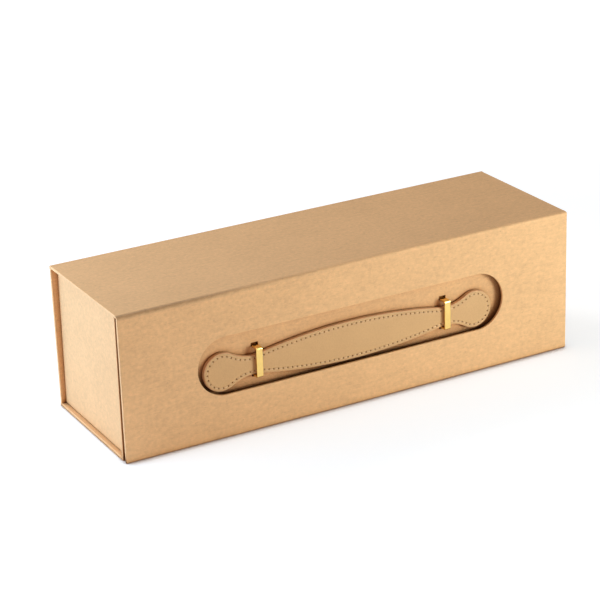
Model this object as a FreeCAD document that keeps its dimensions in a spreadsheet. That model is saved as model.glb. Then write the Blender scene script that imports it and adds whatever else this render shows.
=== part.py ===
import FreeCAD, Part
import Sketcher
import math
import os

# A rigid gift box for one wine bottle, lying on its long side and closed.
# Frame: millimetres, +X along the box, -Y towards the front, +Z up,
# with the origin at the middle of the footprint on the table.
# The box is made of flat panels of greyboard wrapped in kraft paper. The lid turns at the
# top back fold, and the front flap hangs from the lid's front fold and covers the front wall.
# A window in the flap shows a leather handle that two brass loops hold to the front wall.

doc = FreeCAD.newDocument("bottle_gift_box")
sheet = doc.addObject("Spreadsheet::Sheet", "Sizes")

# Driving dimensions, in millimetres.
SIZES = [
    ("box_length", 335.0),
    ("box_depth", 106.0),
    ("box_height", 100.0),
    ("panel_thickness", 2.0),
    ("lining_thickness", 2.0),
    ("end_recess", 3.3),
    ("flap_space", 5.0),
    ("flap_floor_gap", 0.5),
    ("fold_gap", 0.2),
    ("lid_clearance", 0.3),
    ("window_length", 230.0),
    ("window_height", 40.0),
    ("window_middle_height", 50.0),
    ("handle_drop", 5.5),
    ("strap_length", 217.0),
    ("strap_middle_width", 27.2),
    ("strap_neck_width", 13.4),
    ("strap_neck_offset", 2.0),
    ("strap_lobe_width", 26.4),
    ("strap_layer", 1.9),
    ("strap_edge_round", 0.5),
    ("strap_offset", -1.2),
    ("strap_play", 0.3),
    ("loop_spacing", 142.0),
    ("loop_play", 0.8),
    ("loop_width", 4.5),
    ("loop_strip", 1.2),
    ("loop_opening", 18.6),
    ("loop_reach", 6.8),
    ("loop_tab", 7.0),
    ("loop_bend", 1.4),
    ("loop_inner_bend", 0.3),
    ("slot_side_play", 0.3),
    ("slot_end_play", 1.2),
    ("tab_pocket_play", 0.3),
    ("magnet_diameter", 12.0),
    ("magnet_thickness", 1.2),
    ("magnet_inset", 27.5),
    ("magnet_height", 14.0),
    ("magnet_play", 0.1),
]

for row, (alias, size) in enumerate(SIZES, start=1):
    sheet.set(f"A{row}", alias)
    sheet.set(f"B{row}", str(size))
    sheet.setAlias(f"B{row}", alias)
doc.recompute()

# Places that several pieces share, as expressions of the driving dimensions.
END = "(Sizes.box_length / 2)"
TOP = "Sizes.box_height"
FRONT_OUT = "(-Sizes.box_depth / 2)"
BACK_OUT = "(Sizes.box_depth / 2)"
FLAP_IN = "(-Sizes.box_depth / 2 + Sizes.panel_thickness)"
WALL_OUT = "(-Sizes.box_depth / 2 + Sizes.panel_thickness + Sizes.flap_space)"
WALL_IN = f"({WALL_OUT} + Sizes.panel_thickness)"
BACK_IN = "(Sizes.box_depth / 2 - Sizes.panel_thickness)"
LID_UNDER = "(Sizes.box_height - Sizes.panel_thickness)"
WALL_TOP = "(Sizes.box_height - Sizes.panel_thickness - Sizes.lid_clearance)"
FOLD_TOP = "(Sizes.box_height - Sizes.fold_gap)"
HANDLE_HEIGHT = "(Sizes.window_middle_height - Sizes.handle_drop)"
LOOP_LOW = f"({HANDLE_HEIGHT} - Sizes.strap_neck_width / 2 - Sizes.loop_play)"
LOOP_HIGH = f"({LOOP_LOW} + Sizes.loop_opening)"
TAB_FACE = f"({WALL_IN} + Sizes.loop_strip)"


def number(expression):
    """The value that an expression of the driving dimensions comes to."""
    return float(sheet.evalExpression(expression))


def new_body(label):
    """An empty body with a name of its own."""
    body = doc.addObject("PartDesign::Body", label)
    body.Label = label
    return body


def new_sketch(body, name, plane_role, offset=None):
    """A sketch on one of the body's own origin planes, moved along its normal by an expression."""
    plane = [item for item in body.Origin.OriginFeatures if item.Role == plane_role][0]
    sketch = body.newObject("Sketcher::SketchObject", name)
    sketch.AttachmentSupport = (plane, [""])
    sketch.MapMode = "FlatFace"
    if offset:
        sketch.setExpression("AttachmentOffset.Base.z", offset)
    return sketch


def pin_point(sketch, geometry, position, across, up):
    """Holds one point of a sketch at two expressions."""
    index = sketch.addConstraint(
        Sketcher.Constraint("DistanceX", -1, 1, geometry, position, number(across)))
    sketch.setExpression(f"Constraints[{index}]", across)
    index = sketch.addConstraint(
        Sketcher.Constraint("DistanceY", -1, 1, geometry, position, number(up)))
    sketch.setExpression(f"Constraints[{index}]", up)


def pin_across(sketch, geometry, position, across):
    """Holds one point of a sketch at an expression across the sketch."""
    index = sketch.addConstraint(
        Sketcher.Constraint("DistanceX", -1, 1, geometry, position, number(across)))
    sketch.setExpression(f"Constraints[{index}]", across)


def set_radius(sketch, geometry, radius):
    """Binds the radius of a circle or arc to an expression."""
    index = sketch.addConstraint(Sketcher.Constraint("Radius", geometry, number(radius)))
    sketch.setExpression(f"Constraints[{index}]", radius)


def draw_polygon(sketch, corners):
    """Closed outline whose corners are pairs of expressions."""
    points = [FreeCAD.Vector(number(across), number(up), 0) for across, up in corners]
    lines = []
    for point, after in zip(points, points[1:] + points[:1]):
        lines.append(sketch.addGeometry(Part.LineSegment(point, after)))
    first = lines[0]
    for line, following in zip(lines, lines[1:] + [first]):
        sketch.addConstraint(Sketcher.Constraint("Coincident", line, 2, following, 1))
    for line, (across, up) in zip(lines, corners):
        pin_point(sketch, line, 1, across, up)


def rectangle(left, right, low, high):
    """The corners of an upright rectangle, for draw_polygon."""
    return [(left, low), (right, low), (right, high), (left, high)]


def draw_circle(sketch, across, up, radius):
    """Circle bound to expressions."""
    centre = FreeCAD.Vector(number(across), number(up), 0)
    circle = sketch.addGeometry(Part.Circle(centre, FreeCAD.Vector(0, 0, 1), number(radius)))
    pin_point(sketch, circle, 3, across, up)
    set_radius(sketch, circle, radius)


def draw_stadium(sketch, half_straight, up, radius):
    """Two level lines joined by two half circles, centred across the sketch."""
    half = number(half_straight)
    middle = number(up)
    bend = number(radius)
    normal = FreeCAD.Vector(0, 0, 1)
    upper = sketch.addGeometry(Part.LineSegment(
        FreeCAD.Vector(-half, middle + bend, 0), FreeCAD.Vector(half, middle + bend, 0)))
    right_circle = Part.Circle(FreeCAD.Vector(half, middle, 0), normal, bend)
    right = sketch.addGeometry(Part.ArcOfCircle(right_circle, -math.pi / 2, math.pi / 2))
    lower = sketch.addGeometry(Part.LineSegment(
        FreeCAD.Vector(half, middle - bend, 0), FreeCAD.Vector(-half, middle - bend, 0)))
    left_circle = Part.Circle(FreeCAD.Vector(-half, middle, 0), normal, bend)
    left = sketch.addGeometry(Part.ArcOfCircle(left_circle, math.pi / 2, 3 * math.pi / 2))
    for one, one_end, other, other_end in ((upper, 2, right, 2), (right, 1, lower, 1),
                                           (lower, 2, left, 2), (left, 1, upper, 1)):
        sketch.addConstraint(Sketcher.Constraint("Coincident", one, one_end, other, other_end))
    for arc, across in ((right, half_straight), (left, f"-{half_straight}")):
        pin_point(sketch, arc, 3, across, up)
        set_radius(sketch, arc, radius)
        pin_across(sketch, arc, 1, across)
        pin_across(sketch, arc, 2, across)


def pad_across(body, sketch, length):
    """Pads a cross-section by the same amount to both sides."""
    pad = body.newObject("PartDesign::Pad", f"{body.Label}_pad")
    pad.Profile = sketch
    pad.SideType = "Symmetric"
    pad.setExpression("Length", length)
    sketch.Visibility = False
    doc.recompute()
    return pad


def pocket(body, sketch, depth=None, towards_front=False):
    """Cuts a sketch out of the body, right through where no depth is given."""
    before = body.Shape.Volume
    cut = body.newObject("PartDesign::Pocket", f"{sketch.Name}_cut")
    cut.Profile = sketch
    if depth is None:
        cut.Type = "ThroughAll"
        cut.SideType = "Symmetric"
    else:
        cut.Type = "Length"
        cut.setExpression("Length", depth)
        cut.Reversed = towards_front
    sketch.Visibility = False
    doc.recompute()
    if not body.Shape.Volume < before:
        raise RuntimeError(f"{sketch.Name} cuts nothing out of {body.Label}")
    return cut


def sides():
    """The left and the right side, with the sign of X on each."""
    return (("left", "-1"), ("right", "1"))


def panel(label, corners, length):
    """Flat panel that runs along the box, from its cross-section."""
    body = new_body(label)
    section = new_sketch(body, f"{label}_section", "YZ_Plane")
    draw_polygon(section, corners)
    pad_across(body, section, length)
    return body


def bottom_board():
    """Bottom panel, glued between the front and back walls."""
    corners = rectangle(WALL_IN, BACK_IN, "0", "Sizes.panel_thickness")
    return panel("bottom_board", corners, "Sizes.box_length")


def back_board():
    """Back wall. Its top edge is cut at 45 degrees, so that the lid closes square on it."""
    corners = [(BACK_IN, "0"), (BACK_OUT, "0"), (BACK_OUT, FOLD_TOP),
               (BACK_IN, f"({FOLD_TOP} - Sizes.panel_thickness)")]
    return panel("back_board", corners, "Sizes.box_length")


def front_board():
    """Front wall, with two slots for each handle loop and two hidden magnet pockets."""
    corners = rectangle(WALL_OUT, WALL_IN, "0", WALL_TOP)
    body = panel("front_board", corners, "Sizes.box_length")
    slots = new_sketch(body, "loop_slots", "XZ_Plane")
    half_width = "(Sizes.loop_width / 2 + Sizes.slot_side_play)"
    for side, sign in sides():
        middle = f"({sign} * Sizes.loop_spacing / 2)"
        left = f"({middle} - {half_width})"
        right = f"({middle} + {half_width})"
        leg = "(Sizes.loop_strip + Sizes.slot_end_play)"
        draw_polygon(slots, rectangle(left, right, f"({LOOP_LOW} - {leg})", LOOP_LOW))
        draw_polygon(slots, rectangle(left, right, LOOP_HIGH, f"({LOOP_HIGH} + {leg})"))
    pocket(body, slots)
    magnet_pockets(body, "front_magnet_pockets", WALL_IN)
    return body


def magnet_pockets(body, name, face):
    """Two blind round pockets that open at a panel's inner face."""
    holes = new_sketch(body, name, "XZ_Plane", offset=f"-{face}")
    for side, sign in sides():
        draw_circle(holes, f"({sign} * ({END} - Sizes.magnet_inset))", "Sizes.magnet_height",
                    "(Sizes.magnet_diameter / 2 + Sizes.magnet_play)")
    pocket(body, holes, "Sizes.magnet_thickness + Sizes.magnet_play", towards_front=True)


def end_board(side, sign):
    """End wall, set in from the ends of the other panels and glued between them."""
    label = f"end_board_{side}"
    corners = rectangle(WALL_IN, BACK_IN, "Sizes.panel_thickness", WALL_TOP)
    body = panel(label, corners, "Sizes.panel_thickness")
    body.setExpression("Placement.Base.x",
                       f"{sign} * ({END} - Sizes.end_recess - Sizes.panel_thickness / 2)")
    return body


def front_lining_board():
    """Inner board of the front wall, with pockets that cover the bent tabs of the loops."""
    far_face = f"({WALL_IN} + Sizes.lining_thickness)"
    corners = rectangle(WALL_IN, far_face, "Sizes.panel_thickness", WALL_TOP)
    length = "Sizes.box_length - 2 * (Sizes.end_recess + Sizes.panel_thickness)"
    body = panel("front_lining_board", corners, length)
    tabs = new_sketch(body, "tab_pockets", "XZ_Plane", offset=f"-{WALL_IN}")
    half_width = "(Sizes.loop_width / 2 + Sizes.tab_pocket_play)"
    tab = "(Sizes.loop_strip + Sizes.loop_tab + Sizes.tab_pocket_play)"
    for side, sign in sides():
        middle = f"({sign} * Sizes.loop_spacing / 2)"
        draw_polygon(tabs, rectangle(f"({middle} - {half_width})", f"({middle} + {half_width})",
                                     f"({LOOP_LOW} - {tab})", f"({LOOP_HIGH} + {tab})"))
    pocket(body, tabs, "Sizes.loop_strip + Sizes.tab_pocket_play / 2")
    return body


def lid_board():
    """Lid panel, cut at 45 degrees along both folds."""
    inset = "(Sizes.fold_gap + Sizes.panel_thickness)"
    corners = [(f"({FRONT_OUT} + Sizes.fold_gap)", TOP), (f"({FRONT_OUT} + {inset})", LID_UNDER),
               (f"({BACK_OUT} - {inset})", LID_UNDER), (f"({BACK_OUT} - Sizes.fold_gap)", TOP)]
    return panel("lid_board", corners, "Sizes.box_length")


def flap_board():
    """Front flap with the handle's window, cut at 45 degrees at the lid's fold."""
    corners = [(FRONT_OUT, "Sizes.flap_floor_gap"), (FLAP_IN, "Sizes.flap_floor_gap"),
               (FLAP_IN, f"({FOLD_TOP} - Sizes.panel_thickness)"), (FRONT_OUT, FOLD_TOP)]
    body = panel("flap_board", corners, "Sizes.box_length")
    window = new_sketch(body, "window", "XZ_Plane")
    draw_stadium(window, "((Sizes.window_length - Sizes.window_height) / 2)",
                 "Sizes.window_middle_height", "(Sizes.window_height / 2)")
    pocket(body, window)
    magnet_pockets(body, "flap_magnet_pockets", FLAP_IN)
    return body


def handle_loop(side, sign):
    """Flat brass strip bent into a keeper: a bar, two legs through the wall, two bent tabs."""
    label = f"handle_loop_{side}"
    body = new_body(label)
    section = new_sketch(body, f"{label}_section", "YZ_Plane")
    bar_front = f"({WALL_OUT} - Sizes.loop_reach)"
    bar_back = f"({bar_front} + Sizes.loop_strip)"
    low = f"({LOOP_LOW} - Sizes.loop_strip)"
    high = f"({LOOP_HIGH} + Sizes.loop_strip)"
    draw_polygon(section, [
        (bar_front, low), (bar_front, high), (WALL_IN, high), (WALL_IN, f"({high} + Sizes.loop_tab)"),
        (TAB_FACE, f"({high} + Sizes.loop_tab)"), (TAB_FACE, LOOP_HIGH), (bar_back, LOOP_HIGH),
        (bar_back, LOOP_LOW), (TAB_FACE, LOOP_LOW), (TAB_FACE, f"({low} - Sizes.loop_tab)"),
        (WALL_IN, f"({low} - Sizes.loop_tab)"), (WALL_IN, low)])
    pad = pad_across(body, section, "Sizes.loop_width")
    round_bends(body, pad, "outer_bends", [(bar_front, low), (bar_front, high)], "Sizes.loop_bend")
    round_bends(body, body.Tip, "inner_bends", [(bar_back, LOOP_LOW), (bar_back, LOOP_HIGH)],
                "Sizes.loop_inner_bend")
    body.setExpression("Placement.Base.x", f"{sign} * Sizes.loop_spacing / 2")
    return body


def round_bends(body, feature, name, corners, radius):
    """Rounds the edges that run along X through the given corners of a cross-section."""
    names = []
    for index, edge in enumerate(feature.Shape.Edges, start=1):
        middle = edge.BoundBox.Center
        for across, up in corners:
            reach = math.hypot(middle.y - number(across), middle.z - number(up))
            if reach < 0.01 and edge.BoundBox.XLength > 0.01:
                names.append(f"Edge{index}")
    fillet = body.newObject("PartDesign::Fillet", f"{body.Label}_{name}")
    fillet.Base = (feature, names)
    fillet.setExpression("Radius", radius)
    doc.recompute()


def strap_outline(y):
    """Closed outline of the handle strap: wide middle, two necks and two round lobes."""
    half_middle = number("Sizes.strap_middle_width") / 2
    half_neck = number("Sizes.strap_neck_width") / 2
    lobe = number("Sizes.strap_lobe_width") / 2
    half_length = number("Sizes.strap_length") / 2
    neck_x = number("Sizes.loop_spacing") / 2 + number("Sizes.strap_neck_offset")
    lobe_x = half_length - lobe
    # The neck's arc touches the lobe from outside, and the long arc of the middle too.
    neck = ((lobe_x - neck_x) ** 2 + half_neck ** 2 - lobe ** 2) / (2 * (lobe - half_neck))
    neck_z = half_neck + neck
    drop = neck_z - half_middle
    long = (neck_x ** 2 + drop ** 2 - neck ** 2) / (2 * (half_middle - half_neck))
    long_z = half_middle - long
    share = long / (long + neck)
    long_to_neck = (neck_x * share, long_z + (neck_z - long_z) * share)
    share = lobe / (lobe + neck)
    neck_to_lobe = (lobe_x + (neck_x - lobe_x) * share, neck_z * share)
    middle_x = number("Sizes.strap_offset")
    middle_z = number(HANDLE_HEIGHT)

    def point(place, flip_x=1, flip_z=1):
        return FreeCAD.Vector(middle_x + flip_x * place[0], y, middle_z + flip_z * place[1])

    edges = []
    for flip in (1, -1):
        edges.append(Part.Arc(point(long_to_neck, -flip, flip), point((0, half_middle), 1, flip),
                              point(long_to_neck, flip, flip)))
        edges.append(Part.Arc(point(long_to_neck, flip, flip), point((neck_x, half_neck), flip, flip),
                              point(neck_to_lobe, flip, flip)))
        edges.append(Part.Arc(point(neck_to_lobe, flip, flip), point((half_length, 0), flip, 1),
                              point(neck_to_lobe, flip, -flip)))
        edges.append(Part.Arc(point(neck_to_lobe, flip, -flip), point((neck_x, half_neck), flip, -flip),
                              point(long_to_neck, flip, -flip)))
    return Part.Wire([edge.toShape() for edge in edges])


def strap_layer(label, front_y, rounded_y):
    """One leather layer of the strap, with its outer rim rounded."""
    thickness = number("Sizes.strap_layer")
    solid = Part.Face(strap_outline(front_y)).extrude(FreeCAD.Vector(0, thickness, 0))
    rim = [edge for edge in solid.Edges
           if abs(edge.BoundBox.YMin - rounded_y) < 0.01 and edge.BoundBox.YLength < 0.01]
    layer = doc.addObject("Part::Feature", label)
    layer.Label = label
    layer.Shape = solid.makeFillet(number("Sizes.strap_edge_round"), rim)
    layer.Placement = FreeCAD.Placement()
    return layer


def handle_strap():
    """The strap's face and backing, which lie back to back behind the bars of the loops."""
    back = number(f"{WALL_OUT} - Sizes.strap_play")
    seam = back - number("Sizes.strap_layer")
    face = seam - number("Sizes.strap_layer")
    return [strap_layer("handle_strap_face", face, face),
            strap_layer("handle_strap_backing", seam, back)]


def magnet(label, sign, face):
    """Round magnet set flush with a panel's inner face, its axis along Y."""
    disc = doc.addObject("Part::Cylinder", label)
    disc.Label = label
    disc.setExpression("Radius", "Sizes.magnet_diameter / 2")
    disc.setExpression("Height", "Sizes.magnet_thickness")
    disc.Placement = FreeCAD.Placement(FreeCAD.Vector(), FreeCAD.Rotation(FreeCAD.Vector(1, 0, 0), -90))
    disc.setExpression("Placement.Base.x", f"{sign} * ({END} - Sizes.magnet_inset)")
    disc.setExpression("Placement.Base.y", f"{face} - Sizes.magnet_thickness")
    disc.setExpression("Placement.Base.z", "Sizes.magnet_height")
    return disc


def make_pieces():
    """Every separate piece of the box."""
    pieces = [bottom_board(), back_board(), front_board(), front_lining_board(), lid_board(),
              flap_board()]
    pieces += handle_strap()
    for side, sign in sides():
        pieces.append(end_board(side, sign))
        pieces.append(handle_loop(side, sign))
        pieces.append(magnet(f"front_magnet_{side}", sign, WALL_IN))
        pieces.append(magnet(f"flap_magnet_{side}", sign, FLAP_IN))
    doc.recompute()
    return pieces


def check_model(pieces):
    """Stops with the name of anything that failed, before a file is written."""
    for item in doc.Objects:
        if "Invalid" in item.State or "Error" in item.State:
            raise RuntimeError(f"{item.Name} failed: {item.State}")
    for piece in pieces:
        if piece.Shape.isNull() or not piece.Shape.isValid():
            raise RuntimeError(f"{piece.Label} has no valid shape")


def write_pieces(pieces):
    """Writes one STEP file for each piece, named after its label."""
    os.makedirs("parts", exist_ok=True)
    for piece in pieces:
        piece.Shape.exportStep(f"parts/{piece.Label}.step")
        box = piece.Shape.BoundBox
        print(f"{piece.Label}: {piece.Shape.Volume:.0f} mm3, {len(piece.Shape.Solids)} solid, "
              f"x {box.XMin:.2f} {box.XMax:.2f} y {box.YMin:.2f} {box.YMax:.2f} "
              f"z {box.ZMin:.2f} {box.ZMax:.2f}")


all_pieces = make_pieces()
check_model(all_pieces)
write_pieces(all_pieces)
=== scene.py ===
import math
import random

import bmesh
import bpy
from mathutils import Matrix, Vector


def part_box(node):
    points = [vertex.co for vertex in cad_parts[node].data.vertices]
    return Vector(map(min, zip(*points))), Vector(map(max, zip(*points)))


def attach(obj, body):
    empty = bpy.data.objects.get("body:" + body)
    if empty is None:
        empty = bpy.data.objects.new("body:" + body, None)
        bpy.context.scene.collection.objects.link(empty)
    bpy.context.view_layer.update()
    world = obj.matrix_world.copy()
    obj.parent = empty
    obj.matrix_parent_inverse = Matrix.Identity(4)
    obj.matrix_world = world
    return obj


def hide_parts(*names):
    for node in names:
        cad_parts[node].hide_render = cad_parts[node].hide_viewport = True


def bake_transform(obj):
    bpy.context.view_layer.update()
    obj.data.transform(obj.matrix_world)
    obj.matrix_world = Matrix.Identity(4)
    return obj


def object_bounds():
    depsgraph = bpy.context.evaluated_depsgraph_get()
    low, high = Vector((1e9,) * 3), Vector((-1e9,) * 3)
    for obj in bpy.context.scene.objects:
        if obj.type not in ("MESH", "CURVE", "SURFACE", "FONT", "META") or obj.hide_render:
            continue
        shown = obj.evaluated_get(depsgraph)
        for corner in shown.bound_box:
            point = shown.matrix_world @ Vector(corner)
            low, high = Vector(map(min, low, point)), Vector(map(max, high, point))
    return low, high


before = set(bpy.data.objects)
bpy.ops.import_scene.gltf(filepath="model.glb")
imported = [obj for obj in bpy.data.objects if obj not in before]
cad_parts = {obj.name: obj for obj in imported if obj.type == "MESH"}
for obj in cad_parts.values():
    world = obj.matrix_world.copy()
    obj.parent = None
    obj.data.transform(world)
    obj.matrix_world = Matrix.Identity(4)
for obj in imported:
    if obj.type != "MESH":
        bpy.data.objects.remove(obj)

# A rigid kraft gift box for a wine bottle, dressed over its frame. Metres, +X along the box,
# -Y towards the front, +Z up. Sizes that the frame doesn't give are written in millimetres, and
# angles are in radians.
MM = 0.001
cad_low, cad_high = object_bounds()

# Places read from the frame.
END = cad_high.x
FRONT = cad_low.y
BACK = cad_high.y
TOP = cad_high.z
WALL_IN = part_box("front_board")[1].y
WALL_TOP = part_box("front_board")[1].z
LINING_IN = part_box("front_lining_board")[1].y
BACK_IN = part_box("back_board")[0].y
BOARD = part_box("bottom_board")[1].z
FLAP_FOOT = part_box("flap_board")[0].z
FLAP_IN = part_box("flap_board")[1].y
FOLD_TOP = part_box("flap_board")[1].z
LID_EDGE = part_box("lid_board")[1].y

# Boards and their wrap. No step along a board's mesh is longer than the pitch.
PITCH = 9 * MM
EDGE_ROUND = 0.4 * MM
CORNER_ROUND = 0.25 * MM
CORNER_LEAST = 0.02 * MM
SHARP_TURN = 1.0
FOLD_ROUND = 1.2 * MM
FOLD_SAG = 0.28 * MM
FOLD_SLOPE = 3.8 * MM
FOLD_FLANGE = 1.8 * MM
MITRE_CUT = 0.35 * FOLD_ROUND
MITRE_PLAY = 0.15 * MM
PAPER = 0.2 * MM
PAPER_STEP = 0.03 * MM
LINING_STEP = 0.14 * MM
LINING_EDGE = 0.05 * MM
LINING_SUNK = 0.02 * MM
LINING_MARGIN = 4.0 * MM
LINING_FOLD_MARGIN = 1.2 * MM
LINING_WINDOW_MARGIN = 3.0 * MM
# Along rounded edges the paper is lighter: partly rubbed wear, partly a painted highlight.
EDGE_LIGHT_AREA = 5 * MM * MM
EDGE_LIGHT_TURN = 0.2
EDGE_WEAR_AND_HIGHLIGHT = 0.07

# The crease along the front fold has painted shade on the left and a painted highlight on the right.
CREASE_PAINTED_SHADE = 0.36
CREASE_PAINTED_HIGHLIGHT = 0.07
CREASE_FADE_FROM = -150 * MM
CREASE_FADE_TO = 40 * MM

# The window in the flap.
WINDOW_LENGTH = 230 * MM
WINDOW_HEIGHT = 40 * MM
WINDOW_Z = 50 * MM
WINDOW_ROUND = 0.35 * MM
WINDOW_INNER_ROUND = 0.4 * MM
WINDOW_TURN = math.radians(6)

# How the thin boards lean and bow. The lid's front edge draws in between two places along X.
FOLD_LEAN = 1.4 * MM
LEAN_FROM = -80 * MM
LEAN_FULL = 75 * MM
LEAN_EASES = 110 * MM
LEAN_EASED = 0.6
FLAP_END_BOW = 0.6 * MM
WALL_FOOT_LEAN = 1.0 * MM
WALL_TOP_LEAN = 1.9 * MM
END_LEAN = 1.3 * MM

# The leather strap.
STRAP_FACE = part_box("handle_strap_face")
STRAP_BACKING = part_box("handle_strap_backing")
STRAP_MIDDLE_X = (STRAP_FACE[0].x + STRAP_FACE[1].x) / 2
STRAP_MIDDLE_Z = (STRAP_FACE[0].z + STRAP_FACE[1].z) / 2
STRAP_LENGTH = STRAP_FACE[1].x - STRAP_FACE[0].x
STRAP_WIDTH = STRAP_FACE[1].z - STRAP_FACE[0].z
NECK_WIDTH = 13.4 * MM
NECK_X = 73.0 * MM
LOBE_WIDTH = 26.4 * MM
STITCH_INSET = 2.4 * MM
STITCH_PITCH = 3.5 * MM
STITCH_STEPS = 8
PAINTED_RINGS = 5
# A needle hole is flat for a share of its radius, and the painted shade in it reaches up its wall.
HOLE_RADIUS = 0.7 * MM
HOLE_DEPTH = 0.7 * MM
HOLE_FLAT = 0.3
HOLE_SHADE_SPREAD = 1.6

# The sewing thread. Between two holes it rises from its sunk ends to lie just proud of the leather.
THREAD_RADIUS = 0.3 * MM
THREAD_SUNK = 0.62 * MM
THREAD_PRESSED = 0.02 * MM
THREAD_START = 0.12
THREAD_DRIFT = 0.07 * MM
THREAD_LIFT = 0.03 * MM
THREAD_TAPER = 0.25
PLY_DEPTH = 0.13
PLY_TURN = 9

# The brass loops.
LOOP_STRIP = 1.2 * MM
LOOP_TAB = 7.0 * MM
LOOP_BEND = 0.8 * MM
LOOP_EDGE = 0.22 * MM
SLOT_SIDE = 0.3 * MM
SLOT_LEG = 2.4 * MM

# The camera that the photograph was taken with.
CAMERA_PLACE = (-0.6344, -1.1621, 0.5910)
CAMERA_YAW = math.radians(28.168)
CAMERA_PITCH = math.radians(-22.003)
CAMERA_ROLL = math.radians(-2.134)
CAMERA_LENS = 127.66

# Colours of the materials.
KRAFT_COLOUR = (0.679, 0.392, 0.188)
LINING_COLOUR = (0.661, 0.380, 0.182)
LEATHER_COLOUR = (0.575, 0.333, 0.150)
# The painted shade inside the needle holes.
HOLE_SHADE_COLOUR = (0.130, 0.042, 0.002, 1.0)
EDGE_COLOUR = (0.74, 0.40, 0.19)
THREAD_COLOUR = (0.64, 0.41, 0.21)
BRASS_COLOUR = (0.90, 0.61, 0.20)
NICKEL_COLOUR = (0.62, 0.62, 0.64)
# Painted shade for inner corners and narrow gaps: a share of open surroundings, and the colour that
# multiplies the surface's colour there.
KRAFT_SHADE_TONES = ((0.22, (0.02, 0.007, 0.002)), (0.38, (0.34, 0.19, 0.10)), (0.48, (0.78, 0.63, 0.48)),
               (0.60, (0.97, 0.90, 0.80)), (0.85, (1.0, 1.0, 1.0)))
WALL_SHADE_TONES = ((0.16, (0.03, 0.010, 0.002)), (0.30, (0.34, 0.19, 0.09)), (0.44, (0.76, 0.62, 0.48)),
              (0.62, (0.88, 0.82, 0.76)), (0.88, (0.95, 0.92, 0.89)), (1.0, (1.0, 1.0, 1.0)))
LEATHER_SHADE_TONES = ((0.10, (0.06, 0.03, 0.01)), (0.30, (0.86, 0.68, 0.45)), (0.55, (0.96, 0.91, 0.82)),
                 (0.85, (1.0, 1.0, 1.0)))
# How far out from the surrounding surfaces each painted shade reaches.
KRAFT_SHADE_REACH = 6 * MM
WALL_SHADE_REACH = 16 * MM
LEATHER_SHADE_REACH = 2.5 * MM
EDGE_SHADE_REACH = 1.6 * MM

# Light.
# The floor's colour for the light on the object, its colour as the camera sees it, and its glow.
FLOOR_WHITE = 0.8
FLOOR_SHOWN = 0.4
FLOOR_GLOW = 0.72
# A painted contact shadow darkens the floor close round the object: its reach, and its tones by share of open
# surroundings.
FLOOR_SHADOW_REACH = 9 * MM
FLOOR_SHADOW_TONES = ((0.50, (0.27, 0.16, 0.10)), (0.58, (0.58, 0.48, 0.41)), (0.67, (0.80, 0.77, 0.75)),
               (0.82, (0.94, 0.93, 0.93)), (1.0, (1.0, 1.0, 1.0)))
# The floor's glow rises between these distances from the middle.
FLOOR_NEAR = 0.4
FLOOR_FAR = 0.9
AMBIENT = 0.05
LAMP_AIM = Vector((0, 0, 0.05))
# Each lamp's place, size, power in watts and colour.
LAMPS = {
    "left_box": ((-0.7, 0.2, 0.3), 0.5, 7.2, (0.48, 0.71, 1.0)),
    "left_front_box": ((-0.9, -1.2, 0.12), 0.4, 6.0, (1.0, 0.69, 0.56)),
    "right_front_box": ((0.35, -0.55, 0.1), 0.25, 3.75, (0.83, 0.97, 1.0)),
    "back_box": ((-0.5, 1.0, 1.0), 0.5, 12.0, (0.98, 0.99, 1.0)),
    "top_box": ((0.0, 0.0, 1.4), 0.5, 4.3, (1.0, 0.93, 0.86)),
}


def smooth_step(value, low, high):
    """Rises smoothly from 0 at low to 1 at high."""
    share = min(max((value - low) / (high - low), 0.0), 1.0)
    return share * share * (3 - 2 * share)


def cover_shape(point):
    """Lean of the lid's front fold and bow of the flap's foot, for the lid, the flap and their folds."""
    x, y, z = point
    height = z / TOP
    forward = max((BACK - y) / (BACK - FRONT), 0.0)
    rise = smooth_step(x, LEAN_FROM, LEAN_FULL) * (1 - LEAN_EASED * smooth_step(x, LEAN_EASES, END))
    lean = FOLD_LEAN * rise * max(height, 0.0) ** 1.5 * forward ** 4
    foot = FLAP_END_BOW * (x / END) ** 2 * (1 - height) * forward
    return Vector((x, y + lean + foot, z))


def wall_shape(point):
    """The front wall and its inner board lean out a little towards their ends."""
    x, y, z = point
    lean = (WALL_FOOT_LEAN + WALL_TOP_LEAN * z / TOP) * (abs(x) / END) ** 4
    reach = 1 - smooth_step(y, LINING_IN, 0.0)
    return Vector((x, y - lean * reach, z))


def end_shape(point):
    """An end wall meets the leaning front wall, and leans in at its back top corner."""
    x, y, z = wall_shape(point)
    inwards = -1 if x > 0 else 1
    backward = (y - WALL_IN) / (BACK_IN - WALL_IN)
    return Vector((x + inwards * END_LEAN * (z / TOP) * (0.5 + 0.5 * backward), y, z))


def add_node(tree, kind, inputs=None, **settings):
    """A shader node with its settings, and its inputs given as values or as sockets to link."""
    made = tree.nodes.new(kind)
    for key, value in settings.items():
        setattr(made, key, value)
    for key, value in (inputs or {}).items():
        if isinstance(value, bpy.types.NodeSocket):
            tree.links.new(value, made.inputs[key])
        else:
            made.inputs[key].default_value = value
    return made


def math_node(tree, operation, first, second, clamp=False):
    """The result of one sum, given as a socket."""
    made = add_node(tree, "ShaderNodeMath", {0: first, 1: second}, operation=operation, use_clamp=clamp)
    return made.outputs[0]


def plus(tree, first, second, clamp=False):
    """The sum of two values."""
    return math_node(tree, "ADD", first, second, clamp)


def times(tree, first, second):
    """The product of two values."""
    return math_node(tree, "MULTIPLY", first, second)


def noise_node(tree, place, scale, detail, roughness=0.55):
    """Soft noise between 0 and 1 at a scale given in features for each metre."""
    return add_node(tree, "ShaderNodeTexNoise", {
        "Vector": place, "Scale": scale, "Detail": detail, "Roughness": roughness}).outputs["Fac"]


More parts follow.
